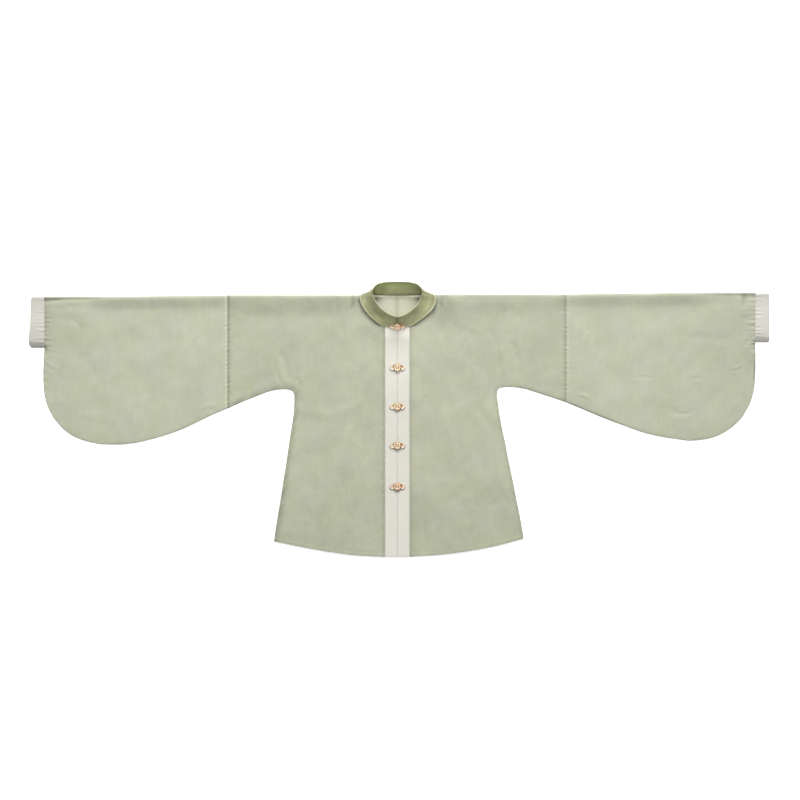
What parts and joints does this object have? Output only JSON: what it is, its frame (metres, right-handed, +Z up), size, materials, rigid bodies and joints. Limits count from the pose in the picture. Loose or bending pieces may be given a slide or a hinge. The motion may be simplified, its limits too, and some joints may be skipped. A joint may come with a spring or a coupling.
{
  "type": "stand-collar jacket with wide rounded sleeves, laid flat",
  "caption": "Short front-opening jacket with a stand collar and wide rounded sleeves, laid flat with its front up and its flower clasps fastened.",
  "frame": {"origin": "middle of the footprint, on the surface that the jacket lies on", "axes": "+X towards the wearer's left sleeve, +Y from the hem to the collar, +Z up from the surface, out of the jacket's front"},
  "size_m": [1.9253, 0.7171, 0.0426],
  "materials": {
    "sage_silk": "pale sage green silk, satin weave",
    "collar_silk": "doubled sage green silk, stiffened",
    "band_satin": "ivory satin, pressed",
    "cuff_satin": "ivory satin",
    "clasp_copper": "copper-coloured metal"
  },
  "bodies": {
    "root": {"body_left": "sage_silk", "body_right": "sage_silk", "sleeve_left": "sage_silk", "sleeve_right": "sage_silk", "cuff_left": "cuff_satin", "cuff_right": "cuff_satin", "front_band_left": "band_satin", "front_band_right": "band_satin", "collar": "collar_silk", "clasp_1_eye": "clasp_copper", "clasp_1_knob": "clasp_copper", "clasp_2_eye": "clasp_copper", "clasp_2_knob": "clasp_copper", "clasp_3_eye": "clasp_copper", "clasp_3_knob": "clasp_copper", "clasp_4_eye": "clasp_copper", "clasp_4_knob": "clasp_copper", "clasp_5_eye": "clasp_copper", "clasp_5_knob": "clasp_copper"}
  },
  "joints": []
}
